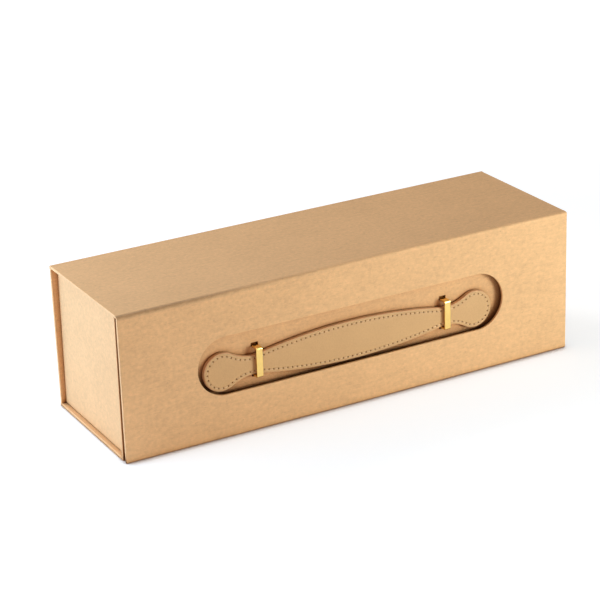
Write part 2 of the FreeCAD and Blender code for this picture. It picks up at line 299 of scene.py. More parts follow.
def centred(tree, socket, amount):
    """A noise value brought to an amount below and above zero."""
    return times(tree, math_node(tree, "SUBTRACT", socket, 0.5), 2 * amount)


def total(tree, sockets):
    """The sum of several values."""
    added = sockets[0]
    for socket in sockets[1:]:
        added = plus(tree, added, socket)
    return added


def scaled_colour(tree, colour, factor):
    """A colour made lighter or darker by a factor."""
    return add_node(tree, "ShaderNodeVectorMath", {0: colour, "Scale": factor}, operation="SCALE").outputs[0]


def mixed_colour(tree, factor, first, second, blend="MIX"):
    """Two colours mixed by a factor."""
    return add_node(tree, "ShaderNodeMix", {0: factor, 6: first, 7: second}, data_type="RGBA",
                    blend_type=blend).outputs[2]


def start_material(name, roughness, **plain):
    """A material with its main shader, and the place of each point on the object."""
    material = bpy.data.materials.new(name)
    material.use_nodes = True
    tree = material.node_tree
    shader = tree.nodes["Principled BSDF"]
    shader.inputs["Roughness"].default_value = roughness
    for key, value in plain.items():
        shader.inputs[key.replace("_", " ")].default_value = value
    place = add_node(tree, "ShaderNodeTexCoord").outputs["Object"]
    return material, tree, shader, place


def add_bump(tree, shader, height, strength, distance):
    """Feeds a height into the shader's normal."""
    bump = add_node(tree, "ShaderNodeBump", {"Strength": strength, "Distance": distance, "Height": height})
    tree.links.new(bump.outputs["Normal"], shader.inputs["Normal"])


def fibres(tree, place, turn, length, width):
    """Thin short fibres that lie in one direction, as a value that peaks on each fibre."""
    turned = add_node(tree, "ShaderNodeMapping", {
        "Vector": place, "Rotation": turn, "Scale": (1 / length, 1 / width, 1 / width)})
    streak = noise_node(tree, turned.outputs[0], 1.0, 1.5, 0.4)
    return add_node(tree, "ShaderNodeMapRange", {
        "Value": streak, "From Min": 0.62, "From Max": 0.78}).outputs["Result"]


def painted_shade_tone(tree, shade_tones, distance):
    """Painted shade for inner corners and narrow gaps: each tone stands at one share of open surroundings."""
    open_share = add_node(tree, "ShaderNodeAmbientOcclusion", {"Distance": distance}, samples=6).outputs["AO"]
    ramp = add_node(tree, "ShaderNodeValToRGB", {"Fac": open_share})
    steps = ramp.color_ramp.elements
    while len(steps) < len(shade_tones):
        steps.new(0.5)
    for step, (share, tone) in zip(steps, shade_tones):
        step.position = share
        step.color = (*tone, 1.0)
    return ramp.outputs["Color"]


def tinted_colour(tree, colour, tone):
    """A colour multiplied by a tone."""
    return mixed_colour(tree, 1.0, colour, tone, "MULTIPLY")


def painted_crevice_shade(tree, colour, shade_tones, distance):
    """A colour with painted shade: it turns warm and then dark in inner corners and narrow gaps."""
    return tinted_colour(tree, colour, painted_shade_tone(tree, shade_tones, distance))


def kraft_material(name, colour, shade_tones, reach, mottle=1.0):
    """Uncoated kraft paper: cloudy, finely mottled, with short fibres and sparse dark flecks."""
    material, tree, shader, place = start_material(name, 0.7, Specular_IOR_Level=0.1)
    cloud = noise_node(tree, place, 24.0, 3.0)
    grain = noise_node(tree, place, 430.0, 4.0, 0.62)
    fine = noise_node(tree, place, 2600.0, 2.0)
    # The paper's fibres lie mostly along the web, which runs along the box.
    drawn = add_node(tree, "ShaderNodeMapping", {"Vector": place, "Scale": (110.0, 520.0, 520.0)})
    streak = noise_node(tree, drawn.outputs[0], 1.0, 3.0, 0.6)
    light = total(tree, [
        fibres(tree, place, (0.3, 0.5, 0.2), 5 * MM, 0.45 * MM),
        fibres(tree, place, (1.2, 0.1, 1.1), 4 * MM, 0.4 * MM),
        fibres(tree, place, (0.2, 1.3, 2.1), 6 * MM, 0.5 * MM)])
    dark = total(tree, [
        fibres(tree, place, (2.0, 0.7, 0.4), 4 * MM, 0.4 * MM),
        fibres(tree, place, (0.6, 2.2, 1.6), 5 * MM, 0.45 * MM)])
    cell = add_node(tree, "ShaderNodeTexVoronoi", {"Vector": place, "Scale": 210.0})
    # Rubbed wear with a painted highlight along rounded edges, and painted shade and highlight along the
    # front crease, are read from the points.
    wear_and_painted_light = add_node(tree, "ShaderNodeAttribute", attribute_name="wear_and_painted_light").outputs["Fac"]
    fleck = add_node(tree, "ShaderNodeMapRange", {
        "Value": cell.outputs["Distance"], "From Min": 0.05, "From Max": 0.11,
        "To Min": 1.0, "To Max": 0.0}).outputs["Result"]
    factor = total(tree, [
        centred(tree, cloud, 0.08 * mottle), centred(tree, grain, 0.20 * mottle),
        centred(tree, streak, 0.10 * mottle), centred(tree, fine, 0.10 * mottle),
        times(tree, light, 0.10 * mottle), times(tree, dark, -0.11 * mottle), wear_and_painted_light,
        times(tree, fleck, -0.16 * mottle)])
    paper = scaled_colour(tree, colour, plus(tree, factor, 1.0))
    # The paper gets painted shade in inner corners and narrow gaps.
    tree.links.new(painted_crevice_shade(tree, paper, shade_tones, reach), shader.inputs["Base Color"])
    rough = plus(tree, centred(tree, grain, 0.12), 0.7, clamp=True)
    tree.links.new(rough, shader.inputs["Roughness"])
    height = total(tree, [times(tree, grain, 0.9), times(tree, fine, 0.35),
                          times(tree, streak, 0.6), times(tree, light, 0.35)])
    add_bump(tree, shader, height, 0.09, 0.12 * MM)
    return material


def leather_material():
    """Smooth tan leather: a fine pebbled grain, cloudy dye and painted shade in the needle holes."""
    material, tree, shader, place = start_material("strap_leather", 0.55)
    cloud = noise_node(tree, place, 60.0, 3.0)
    grain = add_node(tree, "ShaderNodeTexVoronoi", {"Vector": place, "Scale": 1500.0}).outputs["Distance"]
    speck = noise_node(tree, place, 900.0, 3.0)
    hole = add_node(tree, "ShaderNodeAttribute", attribute_name="hole").outputs["Fac"]
    factor = total(tree, [centred(tree, cloud, 0.05), centred(tree, speck, 0.07), times(tree, grain, -0.10)])
    dyed = scaled_colour(tree, LEATHER_COLOUR, plus(tree, factor, 1.04))
    # Painted shade darkens the needle holes.
    holes_shaded = mixed_colour(tree, hole, dyed, HOLE_SHADE_COLOUR)
    # Painted shade in the leather's inner corners and narrow gaps.
    tree.links.new(painted_crevice_shade(tree, holes_shaded, LEATHER_SHADE_TONES, LEATHER_SHADE_REACH), shader.inputs["Base Color"])
    gloss = times(tree, math_node(tree, "SUBTRACT", 1.0, hole), 0.12)
    tree.links.new(gloss, shader.inputs["Specular IOR Level"])
    rough = plus(tree, centred(tree, speck, 0.1), 0.5, clamp=True)
    tree.links.new(rough, shader.inputs["Roughness"])
    height = total(tree, [times(tree, grain, -1.0), times(tree, speck, 0.5)])
    add_bump(tree, shader, height, 0.3, 0.08 * MM)
    return material


def edge_paint_material():
    """The painted rim of the strap, a warm brown with brush unevenness."""
    material, tree, shader, place = start_material("strap_edge_paint", 0.38, Specular_IOR_Level=0.5)
    uneven = noise_node(tree, place, 420.0, 3.0)
    factor = plus(tree, centred(tree, uneven, 0.16), 1.0)
    painted = scaled_colour(tree, EDGE_COLOUR, factor)
    # Painted shade in the rim's inner corners and narrow gaps.
    tree.links.new(painted_crevice_shade(tree, painted, LEATHER_SHADE_TONES, EDGE_SHADE_REACH), shader.inputs["Base Color"])
    tree.links.new(plus(tree, centred(tree, uneven, 0.1), 0.4), shader.inputs["Roughness"])
    add_bump(tree, shader, uneven, 0.25, 0.1 * MM)
    return material


def thread_material():
    """Waxed sewing thread, with its fine filaments."""
    material, tree, shader, place = start_material("sewing_thread", 0.55, Specular_IOR_Level=0.4)
    filament = noise_node(tree, place, 5200.0, 2.0)
    shade = noise_node(tree, place, 350.0, 2.0)
    factor = total(tree, [centred(tree, filament, 0.2), centred(tree, shade, 0.08)])
    tree.links.new(scaled_colour(tree, THREAD_COLOUR, plus(tree, factor, 1.0)), shader.inputs["Base Color"])
    tree.links.new(plus(tree, centred(tree, filament, 0.15), 0.55), shader.inputs["Roughness"])
    add_bump(tree, shader, filament, 0.5, 0.08 * MM)
    return material


def brass_material():
    """Polished yellow brass with fine rubbing marks."""
    material, tree, shader, place = start_material("loop_brass", 0.2, Metallic=1.0)
    rubbed = add_node(tree, "ShaderNodeMapping", {"Vector": place, "Scale": (9000.0, 9000.0, 350.0)})
    marks = noise_node(tree, rubbed.outputs[0], 1.0, 2.0)
    tarnish = noise_node(tree, place, 260.0, 3.0)
    shade = plus(tree, centred(tree, tarnish, 0.06), 0.98)
    tree.links.new(scaled_colour(tree, BRASS_COLOUR, shade), shader.inputs["Base Color"])
    rough = total(tree, [centred(tree, marks, 0.05), centred(tree, tarnish, 0.05)])
    tree.links.new(plus(tree, rough, 0.2, clamp=True), shader.inputs["Roughness"])
    add_bump(tree, shader, marks, 0.08, 0.02 * MM)
    return material


def magnet_material():
    """Nickel-plated magnet."""
    material, tree, shader, place = start_material("magnet_metal", 0.3, Metallic=1.0)
    cloud = noise_node(tree, place, 700.0, 3.0)
    shade = plus(tree, centred(tree, cloud, 0.08), 1.0)
    tree.links.new(scaled_colour(tree, NICKEL_COLOUR, shade), shader.inputs["Base Color"])
    tree.links.new(plus(tree, centred(tree, cloud, 0.1), 0.3), shader.inputs["Roughness"])
    add_bump(tree, shader, cloud, 0.1, 0.02 * MM)
    return material


KRAFT = kraft_material("kraft_wrap", KRAFT_COLOUR, KRAFT_SHADE_TONES, KRAFT_SHADE_REACH)
# The front wall's painted shade reaches further, standing in for the shadow that the flap's window rim casts
# on it.
WALL = kraft_material("kraft_front_wall", KRAFT_COLOUR, WALL_SHADE_TONES, WALL_SHADE_REACH)
LINING = kraft_material("kraft_lining", LINING_COLOUR, KRAFT_SHADE_TONES, KRAFT_SHADE_REACH, 0.8)
LEATHER = leather_material()
EDGE_PAINT = edge_paint_material()
THREAD = thread_material()
BRASS = brass_material()
MAGNET = magnet_material()


def set_values(mesh, name, values):
    """Stores one value for each point of a mesh, for its material to read."""
    mesh.attributes.new(name, "FLOAT", "POINT").data.foreach_set("value", values)


def worn_and_highlit_edges(built):
    """Values for the points of a mesh: the paper is lighter along the rounded edges, partly as rubbed wear
    and partly as a painted highlight.
    """
    values = []
    for vertex in built.verts:
        faces = vertex.link_faces
        narrow = all(face.calc_area() < EDGE_LIGHT_AREA for face in faces)
        bends = any(face.normal.angle(faces[0].normal, 0.0) > EDGE_LIGHT_TURN for face in faces)
        values.append(EDGE_WEAR_AND_HIGHLIGHT if narrow and bends else 0.0)
    return values


def new_piece(name, points, faces, materials, slot, body=None, stands_for=()):
    """A smooth mesh object with its materials, body and the frame's nodes that it stands for. The slot is not
    used.
    """
    mesh = bpy.data.meshes.new(name)
    mesh.from_pydata([tuple(point) for point in points], [], faces)
    mesh.validate()
    tidy = bmesh.new()
    tidy.from_mesh(mesh)
    bmesh.ops.recalc_face_normals(tidy, faces=tidy.faces)
    tidy.normal_update()
    # Kraft pieces get rubbed wear and a painted highlight along their rounded edges.
    wear_and_painted_light = worn_and_highlit_edges(tidy) if materials[0] in (KRAFT, WALL) else []
    tidy.to_mesh(mesh)
    tidy.free()
    if wear_and_painted_light:
        set_values(mesh, "wear_and_painted_light", wear_and_painted_light)
    for material in materials:
        mesh.materials.append(material)
    mesh.polygons.foreach_set("use_smooth", [True] * len(mesh.polygons))
    piece = bpy.data.objects.new(name, mesh)
    bpy.context.scene.collection.objects.link(piece)
    weighted = piece.modifiers.new("even_shading", "WEIGHTED_NORMAL")
    weighted.weight = 100
    if body:
        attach(piece, body)
    if stands_for:
        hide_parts(*stands_for)
    return piece


def ring_faces(ring_count, ring_size, around=False):
    """Quads between closed rings of points, the last joined to the first where the rings go round."""
    faces = []
    for ring in range(ring_count if around else ring_count - 1):
        here = ring * ring_size
        there = (ring + 1) % ring_count * ring_size
        for i in range(ring_size):
            j = (i + 1) % ring_size
            faces.append((here + i, here + j, there + j, there + i))
    return faces


def grid_lines(low, high, pitch, extra=()):
    """Places from low to high no further apart than the pitch, through some extra ones."""
    stops = sorted({round(value, 7) for value in (low, high, *extra)})
    lines = [stops[0]]
    for before, after in zip(stops, stops[1:]):
        steps = max(1, math.ceil((after - before) / pitch))
        lines += [before + (after - before) * step / steps for step in range(1, steps + 1)]
    return lines


def plate(low, high, holes=(), edge=EDGE_ROUND, shape=None, pitch=PITCH):
    """Points and faces of a board between two corners, with rounded edges and square holes.
    A hole is given by its low and high along the board's two wide axes."""
    thin = min(range(3), key=lambda axis: high[axis] - low[axis])
    wide, tall = [axis for axis in range(3) if axis != thin]
    columns = grid_lines(low[wide], high[wide], pitch, [side for hole in holes for side in hole[0:2]])
    rows = grid_lines(low[tall], high[tall], pitch, [side for hole in holes for side in hole[2:4]])

    def solid(i, j):
        if not (0 <= i < len(columns) - 1 and 0 <= j < len(rows) - 1):
            return False
        across = (columns[i] + columns[i + 1]) / 2
        up = (rows[j] + rows[j + 1]) / 2
        return not any(h[0] < across < h[1] and h[2] < up < h[3] for h in holes)

    built = bmesh.new()
    corners = {}

    def corner(i, j, side):
        if (i, j, side) not in corners:
            place = [0.0, 0.0, 0.0]
            place[wide], place[tall], place[thin] = columns[i], rows[j], (low, high)[side][thin]
            corners[i, j, side] = built.verts.new(place)
        return corners[i, j, side]

    for i in range(len(columns) - 1):
        for j in range(len(rows) - 1):
            if not solid(i, j):
                continue
            around = [(i, j), (i + 1, j), (i + 1, j + 1), (i, j + 1)]
            for side in (0, 1):
                built.faces.new([corner(a, b, side) for a, b in around])
            beyond = [(i, j - 1), (i + 1, j), (i, j + 1), (i - 1, j)]
            for step, (a, b) in enumerate(beyond):
                if not solid(a, b):
                    one, other = around[step], around[(step + 1) % 4]
                    built.faces.new([corner(*one, 0), corner(*other, 0), corner(*other, 1), corner(*one, 1)])
    bmesh.ops.recalc_face_normals(built, faces=built.faces)
    sharp = [item for item in built.edges if item.calc_face_angle(0.0) > SHARP_TURN]
    bmesh.ops.bevel(built, geom=sharp, offset=edge, segments=3, profile=0.5, affect="EDGES",
                    clamp_overlap=True)
    built.verts.index_update()
    points = [shape(vertex.co) if shape else vertex.co.copy() for vertex in built.verts]
    faces = [[vertex.index for vertex in face.verts] for face in built.faces]
    built.free()
    return points, faces


def moved_corners(corners, inset):
    """The corners of a convex outline, listed anticlockwise, moved inwards."""
    moved = []
    for i, here in enumerate(corners):
        before, after = corners[i - 1], corners[(i + 1) % len(corners)]
        into, out = (here - before).normalized(), (after - here).normalized()
        first, second = Vector((-into.y, into.x)), Vector((-out.y, out.x))
        moved.append(here + (first + second) * inset / (1 + first.dot(second)))
    return moved


def rounded_outline(corners, radius, cuts, steps=3):
    """Points of a convex outline with rounded corners, each side cut into equal lengths."""
    arcs = []
    for i, here in enumerate(corners):
        before, after = corners[i - 1], corners[(i + 1) % len(corners)]
        into, out = (here - before).normalized(), (after - here).normalized()
        turn = into.angle(out)
        centre = here - into * radius * math.tan(turn / 2) + Vector((-into.y, into.x)) * radius
        arm = Vector((into.y, -into.x)) * radius
        arcs.append([centre + Matrix.Rotation(turn * k / steps, 2) @ arm for k in range(steps + 1)])
    points = []
    for i, arc in enumerate(arcs):
        points += arc
        after = arcs[(i + 1) % len(arcs)][0]
        points += [arc[-1].lerp(after, cut / cuts[i]) for cut in range(1, cuts[i])]
    return points


def along_stations(half, edge):
    """Places along X with how far the section draws in there, for a panel with rounded ends."""
    steps = 3
    ends = [(edge * (1 - math.cos(math.pi / 2 * k / steps)), edge * (1 - math.sin(math.pi / 2 * k / steps)))
            for k in range(steps + 1)]
    stations = [(-half + move, inset) for move, inset in ends]
    stations += [(x, 0.0) for x in grid_lines(-half + edge, half - edge, PITCH)[1:-1]]
    return stations + [(half - move, inset) for move, inset in reversed(ends)]


def swept_panel(corners, shape=None):
    """Points and faces of a panel whose convex section in Y and Z runs along X."""
    corners = [Vector(corner) for corner in corners]
    sides = [(corners[(i + 1) % len(corners)] - here).length for i, here in enumerate(corners)]
    cuts = [max(1, round(side / PITCH)) for side in sides]
    points = []
    size = 0
    for x, inset in along_stations(END, EDGE_ROUND):
        radius = max(CORNER_ROUND - inset, CORNER_LEAST)
        outline = rounded_outline(moved_corners(corners, inset), radius, cuts)
        size = len(outline)
        points += [Vector((x, place.x, place.y)) for place in outline]
    count = len(points) // size
    faces = ring_faces(count, size)
    faces.append(tuple(range(size)))
    faces.append(tuple(range((count - 1) * size, count * size)))
    return [shape(point) for point in points] if shape else points, faces


def fold_strip(name, side, sag=0.0):
    """The kraft wrap where it turns round a fold between two panels, with a flange on each panel.
    Towards a fold that sags, the lid slopes down softly."""
    edge = side * BACK
    slope = FOLD_SLOPE if sag else FOLD_ROUND + FOLD_FLANGE

    def line(under):
        top = TOP - sag
        centre = Vector((edge - side * FOLD_ROUND, top - FOLD_ROUND))
        radius = FOLD_ROUND - under
        steps = 6
        flange = []
        for step in range(steps):
            share = step / steps
            reach = slope + (FOLD_ROUND - slope) * share
            flange.append(Vector((edge - side * reach, TOP - sag * share * share - under)))
        turns = [math.pi / 2 * k / 8 for k in range(9)]
        arc = [centre + radius * Vector((side * math.sin(turn), math.cos(turn))) for turn in turns]
        return flange + arc + [centre + Vector((side * radius, -FOLD_FLANGE))]

    section = line(0.0) + list(reversed(line(PAPER)))
    stations = along_stations(END - EDGE_ROUND / 4, EDGE_ROUND / 2)
    points = [cover_shape(Vector((x, place.x, place.y))) for x, inset in stations for place in section]
    faces = ring_faces(len(stations), len(section))
    size = len(section)
    last = (len(stations) - 1) * size
    for i in range(size // 2 - 1):
        faces.append((i, i + 1, size - 2 - i, size - 1 - i))
        faces.append((last + i, last + i + 1, last + size - 2 - i, last + size - 1 - i))
    strip = new_piece(name, points, faces, [KRAFT], "kraft_panel")
    # A sagging fold gets painted shade along its crease on the left, and a painted highlight on the right.
    if sag:
        crease = strip.data.attributes["wear_and_painted_light"].data
        for point, value in zip(strip.data.vertices, crease):
            near = smooth_step(FRONT + FOLD_SLOPE - point.co.y, 0.0, FOLD_SLOPE - FOLD_ROUND) ** 1.6
            near *= smooth_step(point.co.z, TOP - 2 * FOLD_ROUND, TOP - FOLD_ROUND)
            shaded_share = 1 - smooth_step(point.co.x, CREASE_FADE_FROM, CREASE_FADE_TO)
            value.value = near * (CREASE_PAINTED_HIGHLIGHT - (CREASE_PAINTED_HIGHLIGHT + CREASE_PAINTED_SHADE) * shaded_share)
    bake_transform(strip)


def make_boards():
    """The wrapped boards of the box and its lid, each over its node of the frame."""
    lid_gap = BACK - LID_EDGE
    under = TOP - BOARD
    lid = [(BACK - lid_gap - BOARD, under), (BACK - lid_gap - MITRE_CUT, TOP - MITRE_CUT),
           (BACK - FOLD_ROUND, TOP - PAPER_STEP), (FRONT + FOLD_SLOPE, TOP - PAPER_STEP),
           (FRONT + FOLD_ROUND, TOP - FOLD_SAG - PAPER), (FRONT + lid_gap + BOARD, under)]
    new_piece("lid_panel", *swept_panel(lid, cover_shape), [KRAFT], "kraft_panel", "lid", ["lid_board"])
    back = [(BACK_IN, 0.0), (BACK - PAPER_STEP, 0.0), (BACK - PAPER_STEP, TOP - FOLD_ROUND),
            (BACK - MITRE_CUT, FOLD_TOP - MITRE_CUT), (BACK_IN, FOLD_TOP - BOARD)]
    new_piece("back_panel", *swept_panel(back), [KRAFT], "kraft_panel", "box", ["back_board"])
    new_piece("bottom_panel", *plate(*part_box("bottom_board"), shape=wall_shape), [KRAFT], "kraft_panel",
              "box", ["bottom_board"])
    new_piece("front_panel", *plate(*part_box("front_board"), holes=loop_slots(), shape=wall_shape), [WALL],
              "kraft_panel", "box", ["front_board"])
    new_piece("front_inner_panel", *plate(*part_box("front_lining_board"), shape=wall_shape), [LINING],
              "kraft_panel", "box", ["front_lining_board"])
    for side in ("left", "right"):
        new_piece(f"end_panel_{side}", *plate(*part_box(f"end_board_{side}"), shape=end_shape), [KRAFT],
                  "kraft_panel", "box", [f"end_board_{side}"])


def loop_slots():
    """The four slots in the front wall that the legs of the loops pass through."""
    slots = []
    for side in ("left", "right"):
        low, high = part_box(f"handle_loop_{side}")
        inner_low = low.z + LOOP_TAB + LOOP_STRIP
        inner_high = high.z - LOOP_TAB - LOOP_STRIP
        left, right = low.x - SLOT_SIDE, high.x + SLOT_SIDE
        slots.append((left, right, inner_low - SLOT_LEG, inner_low))
        slots.append((left, right, inner_high, inner_high + SLOT_LEG))
    return slots


def window_rays(radius, left, right, foot, head):
    """Rays from the window's edge out to the panel's edge, going once round. Each one holds its start,
    its direction, its end, how the end moves as the edge moves in, and where it ends."""
    half_straight = (WINDOW_LENGTH - WINDOW_HEIGHT) / 2

    def straight(sign):
        edge = head if sign > 0 else foot
        return [(Vector((x, WINDOW_Z + sign * radius)), Vector((0, sign)), Vector((x, edge)),
                 Vector((0, -sign)), "head" if sign > 0 else "side")
                for x in grid_lines(-half_straight, half_straight, PITCH)[1:-1]]

    def bend(sign):
        centre = Vector((sign * half_straight, WINDOW_Z))
        edge = right if sign > 0 else left
        reach_x = abs(edge - centre.x)
        high, low = math.atan2(head - WINDOW_Z, reach_x), math.atan2(foot - WINDOW_Z, reach_x)
        rays = []
        for angle in grid_lines(-math.pi / 2, math.pi / 2, WINDOW_TURN, (low, high)):
            way = Vector((sign * math.cos(angle), math.sin(angle)))
            start = centre + way * radius
            if min(abs(angle - high), abs(angle - low)) < 1e-5:
                corner = Vector((edge, head if angle > 0 else foot))
                move = Vector((-sign, -1 if angle > 0 else 1))
                rays.append((start, way, corner, move, "corner" if angle > 0 else "side"))
            elif low < angle < high:
                end = centre + way * reach_x / math.cos(angle)
                rays.append((start, way, end, -way / math.cos(angle), "side"))
            else:
                reach_z = abs((head if angle > 0 else foot) - WINDOW_Z) / abs(math.sin(angle))
                rays.append((start, way, centre + way * reach_z, -way / abs(math.sin(angle)),
                             "head" if angle > 0 else "side"))
        return rays

    return straight(1) + bend(1)[::-1] + straight(-1)[::-1] + bend(-1)


def windowed_panel(rays, outline):
    """Points and faces of a panel with a window. The outline goes round the panel's thickness: each
    point has its kind, its move and its y, and its move and its y where the ray ends at the head."""
    points = []
    for start, way, end, move, goal in rays:
        for kind, amount, y, head_amount, head_y in outline:
            if kind == "rim":
                place = start + way * amount
            elif kind == "between":
                place = start.lerp(end, amount)
            elif goal == "side":
                place = end + move * amount
            elif goal == "head":
                place, y = end + move * head_amount, head_y
            else:
                place, y = Vector((end.x + move.x * amount, end.y + move.y * head_amount)), head_y
            points.append(cover_shape(Vector((place.x, y, place.y))))
    return points, ring_faces(len(rays), len(outline), around=True)


def quarter(steps=4):
    """Pairs that run round a quarter circle, from (0, 1) to (1, 0)."""
    return [(math.sin(math.pi / 2 * k / steps), math.cos(math.pi / 2 * k / steps)) for k in range(steps + 1)]


def between_points(y, backwards=False):
    """Points of an outline spread across a face."""
    shares = [0.06, 0.14, 0.26, 0.40, 0.55, 0.70, 0.84]
    return [("between", share, y, 0.0, y) for share in (reversed(shares) if backwards else shares)]


def make_flap():
    """The front flap with its soft-rimmed window, over its node of the frame."""
    out = FRONT + PAPER_STEP
    gap = TOP - FOLD_TOP
    mitre = FOLD_SAG + MITRE_CUT + MITRE_PLAY
    outline = [("rim", WINDOW_ROUND * (1 - up), out + WINDOW_ROUND * (1 - across), 0.0, 0.0)
               for across, up in quarter(5)]
    outline += between_points(out)
    # Over the head the outer edge is cut back for the fold's paper, and then follows the mitre.
    for across, up in quarter():
        drop = FOLD_SAG + FOLD_ROUND - gap + (MITRE_CUT - FOLD_ROUND + gap) * across
        outline.append(("edge", EDGE_ROUND * (1 - across), out + EDGE_ROUND * (1 - up),
                        drop, out + (MITRE_CUT - PAPER_STEP) * (1 - up)))
    for across, up in quarter():
        along = mitre + (BOARD - mitre) * across
        outline.append(("edge", EDGE_ROUND * (1 - up), FLAP_IN - EDGE_ROUND * (1 - across),
                        along, FRONT + along))
    outline += between_points(FLAP_IN, backwards=True)
    outline += [("rim", WINDOW_INNER_ROUND * up, FLAP_IN - WINDOW_INNER_ROUND * (1 - up), 0.0, 0.0)
                for across, up in quarter(3)]
    rays = window_rays(WINDOW_HEIGHT / 2, -END, END, FLAP_FOOT, FOLD_TOP)
    new_piece("flap_panel", *windowed_panel(rays, outline), [KRAFT], "kraft_panel", "flap", ["flap_board"])


def make_folds():
    """The wrap round the lid's two folds."""
    fold_strip("lid_fold", 1)
    fold_strip("flap_fold", -1,
               FOLD_SAG)


def make_linings():
    """Thin lining sheets on the inner faces, a few millimetres in from the edges."""
    reach = END - LINING_MARGIN
    under = TOP - BOARD
    fold = BOARD + LINING_FOLD_MARGIN
    end_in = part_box("end_board_right")[0].x
    sheets = {
        "lid_lining": ("lid", cover_shape, (-reach, FRONT + fold, under - LINING_STEP),
                       (reach, BACK - fold, under + LINING_SUNK)),
        "back_lining": ("box", None, (-end_in, BACK_IN - LINING_STEP, BOARD),
                        (end_in, BACK_IN + LINING_SUNK, WALL_TOP - fold)),
        "bottom_lining": ("box", None, (-end_in, LINING_IN, BOARD - LINING_SUNK),
                          (end_in, BACK_IN, BOARD + LINING_STEP)),
    }
    for name, (body, shape, low, high) in sheets.items():
        points, faces = plate(low, high, edge=LINING_EDGE, shape=shape, pitch=2 * PITCH)
        new_piece(name, points, faces, [LINING], "kraft_panel", body)
    near, far = FLAP_IN - LINING_SUNK, FLAP_IN + LINING_STEP
    outline = [("rim", 0.0, near, 0.0, 0.0), ("rim", 0.0, far - LINING_EDGE, 0.0, 0.0),
               ("rim", LINING_EDGE, far, 0.0, 0.0)]
    outline += between_points(far)
    outline += [("edge", LINING_EDGE, far, LINING_EDGE, far),
                ("edge", 0.0, far - LINING_EDGE, 0.0, far - LINING_EDGE), ("edge", 0.0, near, 0.0, near)]
    outline += between_points(near, backwards=True)
    rays = window_rays(WINDOW_HEIGHT / 2 + LINING_WINDOW_MARGIN, -reach, reach, FLAP_FOOT + LINING_MARGIN,
                       TOP - fold)
    new_piece("flap_lining", *windowed_panel(rays, outline), [LINING], "kraft_panel", "flap")


def strap_arcs():
    """The arcs of a quarter of the strap's outline, from the middle's top to the lobe's end, about the
    strap's middle: centre, radius, first and last angle, and 1 where the centre lies inside the strap."""
    half_width, half_neck, lobe = STRAP_WIDTH / 2, NECK_WIDTH / 2, LOBE_WIDTH / 2
    lobe_x = STRAP_LENGTH / 2 - lobe
    neck = ((lobe_x - NECK_X) ** 2 + half_neck ** 2 - lobe ** 2) / (2 * (lobe - half_neck))
    neck_z = half_neck + neck
    drop = neck_z - half_width
    long = (NECK_X ** 2 + drop ** 2 - neck ** 2) / (2 * (half_width - half_neck))
    long_z = half_width - long
    lean = math.atan2(neck_z - long_z, NECK_X)
    turn = math.atan2(neck_z, lobe_x - NECK_X)
    return [(Vector((0, long_z)), long, math.pi / 2, lean, 1),
            (Vector((NECK_X, neck_z)), neck, lean - math.pi, -turn, -1),
            (Vector((lobe_x, 0)), lobe, math.pi - turn, 0.0, 1)]


def strap_places():
    """Evenly spaced places along the stitch line of a quarter, each as an arc and an angle on it."""
    arcs = strap_arcs()
    lengths = [abs(last - first) * (radius - inside * STITCH_INSET)
               for _, radius, first, last, inside in arcs]
    stitches = round(sum(lengths) / STITCH_PITCH)
    count = stitches * STITCH_STEPS
    places = []
    for step in range(count + 1):
        along = sum(lengths) * step / count
        arc = 0
        while arc < 2 and along > lengths[arc]:
            along -= lengths[arc]
            arc += 1
        _, _, first, last, _ = arcs[arc]
        places.append((arcs[arc], first + (last - first) * min(along / lengths[arc], 1.0)))
    return places


def strap_ring(inset):
    """Points in X and Z once round the strap, moved in from its outline."""
    quarter_ring = []
    for (centre, radius, _, _, inside), angle in strap_places():
        reach = radius - inside * inset
        quarter_ring.append(centre + reach * Vector((math.cos(angle), math.sin(angle))))
    right = quarter_ring + [Vector((p.x, -p.y)) for p in reversed(quarter_ring[:-1])]
    left = [Vector((-p.x, p.y)) for p in reversed(right[1:-1])]
    ring = right + left
    return [Vector((STRAP_MIDDLE_X + p.x, STRAP_MIDDLE_Z + p.y)) for p in ring]


